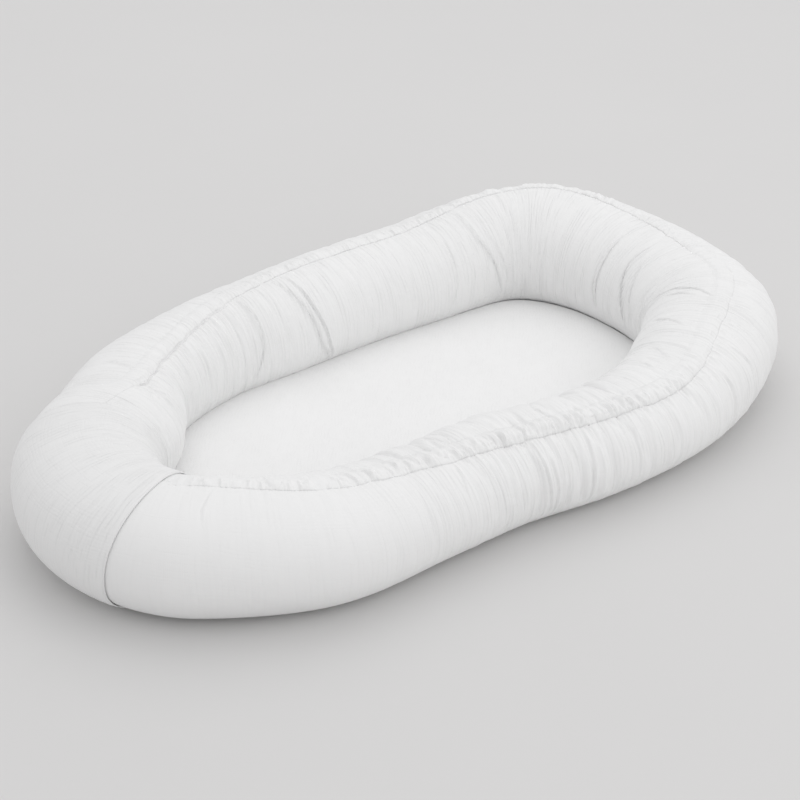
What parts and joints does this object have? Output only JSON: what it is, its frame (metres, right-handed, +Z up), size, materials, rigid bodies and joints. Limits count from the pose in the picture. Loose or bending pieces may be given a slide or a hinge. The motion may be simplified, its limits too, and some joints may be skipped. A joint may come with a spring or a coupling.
{
  "type": "infant lounger",
  "caption": "Soft oval infant lounger: a padded muslin ring with a gathered top casing and a sliding foot sleeve round a thin mattress on a zipped base cloth.",
  "frame": {"origin": "on the floor, under the middle of the whole outline", "axes": "+X towards the head end, +Y towards the far side as pictured, +Z up"},
  "size_m": [0.8845, 0.5155, 0.1305],
  "materials": {
    "muslin": "crinkled white cotton muslin, double layer, matt",
    "base_cloth": "plain white cotton, matt",
    "fibre_filling": "loose white polyester fibre",
    "foam": "soft white foam sheet",
    "elastic": "flat woven white elastic",
    "zip_tape": "woven white zip tape",
    "zip_plastic": "white nylon coil and moulded slider"
  },
  "bodies": {
    "root": {"outer_panel": "muslin", "inner_panel": "muslin", "underside_strip_near": "base_cloth", "underside_strip_far": "base_cloth", "bolster_filling": "fibre_filling", "end_cap_near": "base_cloth", "end_cap_far": "base_cloth", "top_casing": "muslin", "casing_elastic": "elastic", "base_panel": "base_cloth", "mattress_foam": "foam", "mattress_cover_top": "muslin", "mattress_cover_bottom": "base_cloth", "zip_tape_near": "zip_tape", "zip_tape_far": "zip_tape", "zip_coil_near": "zip_plastic", "zip_coil_far": "zip_plastic", "zip_stop_foot": "zip_plastic", "zip_stop_head": "zip_plastic"},
    "sleeve": {"foot_sleeve": "muslin"},
    "slider": {"zip_slider": "zip_plastic"},
    "pull_tab": {"zip_pull": "zip_plastic"}
  },
  "joints": [
    {"name": "sleeve_slide_round", "type": "hinge", "parent": "root", "child": "sleeve", "pos_m": [-0.239, -0.0315, 0.058], "axis": [0, 0, 1], "range_deg": [-13, 0]},
    {"name": "zip_run", "type": "slide", "parent": "root", "child": "slider", "axis": [1, 0, 0], "range_m": [0, 0.282]},
    {"name": "pull_tab_swing", "type": "hinge", "parent": "slider", "child": "pull_tab", "pos_m": [-0.1413, 0, 0.00415], "axis": [0, 1, 0], "range_deg": [0, 180]}
  ]
}
